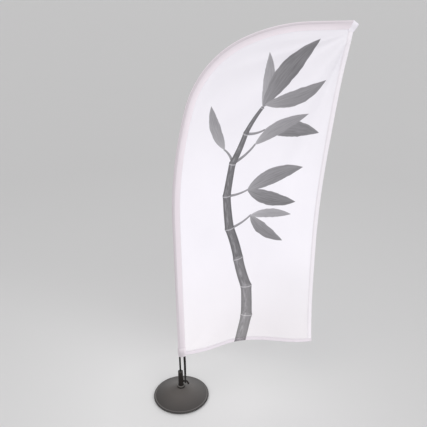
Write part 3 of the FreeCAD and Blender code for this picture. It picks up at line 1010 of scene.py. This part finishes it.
def sleeve_tone(tree):
    """The rod shows through as a grey line, partly painted shade on the nose, with a painted highlight on
    the nose's rim at the bend; darker near the foot and the tip, and paler towards the panel, most so at
    its bend.
    """
    inset = tree.stored("inset")
    to_tip = tree.stored("to_tip")
    bent = to_tip.ramp(566.7, 400.0)
    near_tip = to_tip.ramp(50.0, 0.0)
    near_foot = tree.place()[2].ramp(285.7, 142.9)
    # Painted highlight: a thin bright line along the nose's rim round the bend.
    painted_rim_highlight = inset.ramp(-2.0, -2.5) * bent.between(0.8, 1.7)
    over_rod = inset.ramp(2.444, 1.333) - painted_rim_highlight
    # The grey over the rod is the rod showing through, with painted shade on the nose turned from the
    # light.
    grey = over_rod * bent.between(0.22, 0.17) * near_tip.between(1.0, 0.3) * near_foot.between(1.0, 0.5)
    pale = inset.ramp(2.727, 11.818) * bent.between(0.06, 0.19) * near_tip.between(1.0, 0.2)
    tip_shade = near_tip * 0.06 * (1.0 - inset.ramp(4.0, 6.5))
    inner = inset.ramp(6.875, 13.125)
    outer = inset.ramp(-0.667, -1.778)
    foot_shade = near_foot * 0.12 * inner.between(1.0, 0.2) * outer.between(1.0, -0.3)
    return 1.0 - grey - foot_shade + pale - tip_shade


def pouch_tone(tree):
    """Greyer over the rod, where it shows through, partly painted shade; painted shade in the lower end;
    pale along the seam with the panel.
    """
    x, _, z = tree.place()
    over_rod = x.ramp(2.5, 0.0)
    inwards = x.ramp(2.0, 12.0)
    at_seam = x.ramp(9.0, 11.0)
    # Painted shade in the pouch's lower end.
    low = z.ramp(129.0, 119.0) * x.ramp(-3.333, 0.0) * (1.0 - at_seam)
    return over_rod.between(0.89, 0.84) + inwards * 0.08 + at_seam * 0.06 - low * 0.19


def panel_painted_shade(tree):
    """Painted shade: a little greyer high up, and low down, more so towards the right."""
    x, _, z = tree.place()
    painted_top_shade = z.ramp(500.0, 750.0)
    slack = z.ramp(316.7, 150.0)
    # Painted shade: darker towards the top and, low down, towards the right.
    return painted_top_shade.between(1.0, 0.90) - slack * x.scaled(0.00027, 0.006)


def hem_edge_shadow(tree):
    """Painted shadow along the stitched inner edge, where the layers end."""
    from_seam = abs(tree.stored("inset") - 8.0)
    # Painted shadow at the step where the hem's layers end.
    return from_seam.ramp(2.2, 0.2).between(1.0, 0.93)


def cloth_material(name, colour, printed=None, tone=None, low_shade_colour=None):
    """White polyester knit, with the sprig's group if it is printed.

    tone makes a further shade, and low_shade_colour is the cloth's colour towards its bottom edge: painted
    warmer shade.
    """
    material, tree, (x, y, z) = new_material(name)
    drift = tree.noise(tree.vector(x, y, z), 0.012).between(-0.2, 1.2)
    # Painted shade where a low colour is given: warmer and darker towards the bottom edge.
    plain = tree.tint(z.ramp(355.6, 133.3), colour, low_shade_colour or colour)
    dull = tree.tint(1.0, plain, (0.975, 0.975, 0.975), "MULTIPLY")
    base = tree.tint(drift, dull, plain)
    shades = [print_ink(tree, printed, x, z)] if printed else []
    if tone:
        shades.append(tone(tree))
    for factor in shades:
        base = tree.tint(1.0, base, tree.vector(factor, factor, factor), "MULTIPLY")
    shade(tree, base, 0.78, knit_bump(tree, x, z), CLOTH_LEVELS)
    return material


# ---- Hardware finishes ----

PALE_RING_R = 58.0  # the rim's inner edge, where the coat shows a pale ring
PALE_RING_HALF = 1.43
RIM_R = (59.0, 60.25)  # the paint darkens between these radii
CONE_REFLECTION_R = (55.7, 27.1)  # and pales up the cone between these: painted reflection


def speckled(name, colour, roughness, grain_mm, strength, spread, metallic=0.0, specular=0.5):
    """A moulded or coated surface: fine grain, slight drift of colour and gloss."""
    material, tree, place = new_material(name)
    where = tree.vector(*place)
    grain = tree.noise(where, 1.0 / grain_mm, 3.0)
    drift = tree.noise(where, 0.03, 3.0)
    low, high = ([c * part for c in colour] for part in (1 - spread, 1 + spread))
    mixed = tree.tint(drift.between(-0.3, 1.3), low, high)
    levels = {"Metallic": metallic, SPECULAR: specular}
    shade(tree, mixed, drift.scaled(0.2, roughness - 0.1), tree.bump(grain, strength, 0.08), levels)
    return material


def base_paint():
    """Powder coat: paler up the cone as a painted reflection, a pale line inside the rim and a dark rim."""
    material, tree, (x, y, z) = new_material("powder_coat")
    where = tree.vector(x, y, z)
    grain = tree.noise(where, 1.1, 3.0)
    drift = tree.noise(where, 0.025)
    radius = (x * x + y * y).root()
    pale_ring = (radius - PALE_RING_R).ridge(PALE_RING_HALF)
    flecks = grain.ramp(0.6, 0.711)
    # Painted reflection: the coat pales up the cone.
    colour = tree.tint(radius.ramp(*CONE_REFLECTION_R), (0.041, 0.0365, 0.034), (0.091, 0.081, 0.075))
    colour = tree.tint(drift * 0.4, colour, (0.066, 0.061, 0.060))
    colour = tree.tint(pale_ring * 0.75, colour, (0.19, 0.18, 0.175))
    colour = tree.tint(radius.ramp(*RIM_R), colour, (0.026, 0.024, 0.023))
    colour = tree.tint(flecks * 0.25, colour, (0.14, 0.132, 0.126))
    shade(tree, colour, grain.scaled(0.2, 0.36), tree.bump(grain, 0.35, 0.1))
    return material


def fibre_rod():
    """Pultruded glass fibre: lengthwise streaks under a thin gloss."""
    material, tree, (x, y, z) = new_material("fibre_rod")
    streaks = tree.noise(tree.vector(x * 3.0, y * 3.0, z * 0.03), 1.0, 3.0)
    colour = tree.tint(streaks, (0.005, 0.005, 0.0045), (0.012, 0.012, 0.0105))
    shade(tree, colour, streaks.scaled(0.3, 0.30), tree.bump(streaks, 0.2, 0.05), {SPECULAR: 0.12})
    return material


def braided_cord():
    """Black braid: two crossing sets of strands round the cord."""
    material, tree, (x, _, z) = new_material("braided_cord")
    along, around = z * 3.6, x * 5.0
    weave = ((along + around).wave() * (along - around).wave()).between(0.5, 1.0)
    colour = tree.tint(weave, (0.004, 0.004, 0.004), (0.018, 0.017, 0.017))
    shade(tree, colour, 0.75, tree.bump(weave, 0.6, 0.2), {SPECULAR: 0.25})
    return material


def turning_marks(tree, z):
    """Fine marks round the axis, as a lathe leaves them."""
    return tree.bump(tree.noise(tree.vector(0.0, 0.0, z), 9.0), 0.3, 0.05)


def spindle_black():
    """Black plating, with an uneven painted highlight on the flange's chamfer and above it."""
    material, tree, (x, y, z) = new_material("black_plating")
    smudge = tree.noise(tree.vector(x, y, z), 0.5, 3.0)
    # Painted highlight on the flange's chamfer and top, uneven with the smudge.
    painted_chamfer_highlight = z.ramp(FLANGE_TOP_Z - FLANGE_CHAMFER, FLANGE_TOP_Z - FLANGE_CHAMFER / 2)
    colour = tree.tint(painted_chamfer_highlight * smudge.scaled(0.6, 0.6), (0.026, 0.023, 0.021), (0.17, 0.16, 0.15))
    shade(tree, colour, smudge.scaled(0.2, 0.36), turning_marks(tree, z), {"Metallic": 0.3})
    return material


def zinc_plate():
    """Plated steel."""
    material, tree, (x, y, z) = new_material("zinc_plated_steel")
    smudge = tree.noise(tree.vector(x, y, z), 0.25, 3.0)
    colour = tree.tint(smudge, (0.44, 0.44, 0.456), (0.55, 0.55, 0.57))
    shade(tree, colour, smudge.scaled(0.2, 0.28), turning_marks(tree, z), {"Metallic": 0.85})
    return material


def dress(obj, material):
    obj.data.materials.clear()
    obj.data.materials.append(material)


# ---- Stage, lights and camera ----


FLOOR_HALF = 30000.0
LIGHT_POOL_FADE = 450.0  # the painted pool of light is about half gone this far out


def floor():
    """A plain pale floor with a painted pool of light round the object."""
    corners = [(x * FLOOR_HALF, y * FLOOR_HALF, 0) for x, y in ((-1, -1), (1, -1), (1, 1), (-1, 1))]
    obj = mesh_object("studio_floor", corners, [(0, 1, 2, 3)])
    material, tree, (x, y, z) = new_material("studio_floor")
    # Painted light: the floor is paler near the object, fading outwards.
    near = LIGHT_POOL_FADE / ((x * x + y * y).root() + LIGHT_POOL_FADE)
    grain = tree.noise(tree.vector(x, y, z), 0.004)
    pale = tree.tint(near.ramp(0.2105, 0.7368), (0.568, 0.568, 0.568), (0.77, 0.77, 0.77))
    shade(tree, tree.tint(grain * 0.04, pale, (0.6, 0.6, 0.6)), 0.9, levels={SPECULAR: 0.1})
    dress(obj, material)


def soft_sun(name, ahead, strength, spread_deg, colour=(1, 1, 1)):
    """An even light along a direction, as soft as a sky patch of the given spread."""
    light = bpy.data.lights.new(name, "SUN")
    light.energy = strength
    light.angle = math.radians(spread_deg)
    light.color = colour
    obj = add_object(name, light)
    obj.rotation_mode = "QUATERNION"
    obj.rotation_quaternion = Vector(ahead).to_track_quat("-Z", "Y")


def studio():
    floor()
    world = bpy.data.worlds.new("studio")
    bpy.context.scene.world = world
    world.use_nodes = True
    sky = world.node_tree.nodes["Background"]
    sky.inputs["Color"].default_value = (0.985, 0.985, 1.0, 1)
    sky.inputs["Strength"].default_value = 0.56
    soft_sun("key", (-0.30, 1.0, -0.36), 1.72, 60, (1.0, 0.995, 1.0))
    soft_sun("fill", (0.6, 0.45, -0.9), 0.5, 50, (1.0, 0.96, 0.92))
    soft_sun("behind", (-0.45, -1.0, -0.28), 0.9, 80)


def camera():
    data = bpy.data.cameras.new("camera")
    data.lens = LENS
    data.sensor_width = SENSOR
    obj = add_object("camera", data)
    turn = Matrix.Rotation(math.radians(-HEADING_DEG), 4, "Z")
    tilt = Matrix.Rotation(math.radians(90 - PITCH_DEG), 4, "X")
    roll = Matrix.Rotation(math.radians(-ROLL_DEG), 4, "Z")
    obj.matrix_world = Matrix.Translation(EYE) @ turn @ tilt @ roll
    bpy.context.scene.camera = obj


# ---- Build ----


def build_flag():
    sprig = sprig_group()
    # Painted shade: the panel turns warmer and darker low down.
    low_shade_white = (0.878, 0.850, 0.878)
    panel_finish = cloth_material("printed_knit", (0.895, 0.875, 0.928), sprig, panel_painted_shade, low_shade_white)
    edge_finish = cloth_material("edge_hem_knit", (0.84, 0.805, 0.85), tone=hem_edge_shadow)
    # Painted shade: the bottom hem is darker than the trailing hem, as it faces a little downward.
    hem_finish = cloth_material("printed_hem_knit", (0.765, 0.715, 0.765), sprig, hem_edge_shadow)
    sleeve_finish = cloth_material("sleeve_knit", (0.735, 0.675, 0.72), tone=sleeve_tone)
    pouch_finish = cloth_material("pouch_knit", (0.745, 0.690, 0.730), tone=pouch_tone)
    tape_finish = cloth_material("white_tape", (0.81, 0.785, 0.84))
    thread_finish = speckled("sewing_thread", (0.72, 0.70, 0.72), 0.6, 0.3, 0.2, 0.05)

    cord = stretch_loop()
    dress(cord, braided_cord())
    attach(cord, "flag")
    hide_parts("tension_loop")

    pieces = (
        (flag_cloth, panel_finish, "flag_panel", "printed_cloth"),
        (rod_sleeve, sleeve_finish, "rod_sleeve", "sleeve_cloth"),
        (trailing_hem, edge_finish, "trailing_hem", "hem_cloth"),
        (bottom_hem, hem_finish, "bottom_hem", "hem_cloth"),
        (tip_band, tape_finish, "tip_band", "tape_cloth"),
        (corner_pocket, pouch_finish, "corner_pocket", "tape_cloth"),
        (trailing_stitches, thread_finish, None, "hem_cloth"),
        (bottom_stitches, thread_finish, None, "hem_cloth"),
        (sleeve_stitches, thread_finish, None, "sleeve_cloth"),
        (corner_bartacks, thread_finish, None, "hem_cloth"),
    )
    for make, finish, node, slot in pieces:
        obj = make()
        dress(obj, finish)
        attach(obj, "flag")
        if node:
            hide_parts(node)
    cloth_area()


def dress_hardware():
    black = speckled("black_enamel", (0.013, 0.0100, 0.0088), 0.45, 0.5, 0.15, 0.2, specular=0.24)
    moulded = speckled("black_moulding", (0.027, 0.0230, 0.0205), 0.5, 0.35, 0.25, 0.15)
    zinc = zinc_plate()
    acetal = speckled("black_acetal", (0.018, 0.017, 0.017), 0.4, 0.6, 0.1, 0.1)
    foam = speckled("foam_pad", (0.02, 0.02, 0.021), 0.85, 0.9, 0.8, 0.3)
    iron = speckled("cast_iron", (0.06, 0.058, 0.056), 0.7, 1.6, 0.7, 0.3, metallic=0.3)
    rod = fibre_rod()
    finishes = {
        "base_shell": base_paint(),
        "base_pad": foam,
        "base_weight": iron,
        "spindle": spindle_black(),
        "spindle_washer": zinc,
        "spindle_nut": zinc,
        "thrust_washer": acetal,
        "socket_body": black,
        "socket_cap": moulded,
        "spindle_bush": acetal,
        "cord_hook": black,
        "lower_rod": rod,
        "upper_rod": rod,
        "rod_joint_pin": zinc,
        "tip_cap": moulded,
    }
    for node, finish in finishes.items():
        dress(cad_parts[node], finish)


bpy.context.scene.view_settings.view_transform = "Standard"
camera()
build_flag()
dress_hardware()
studio()
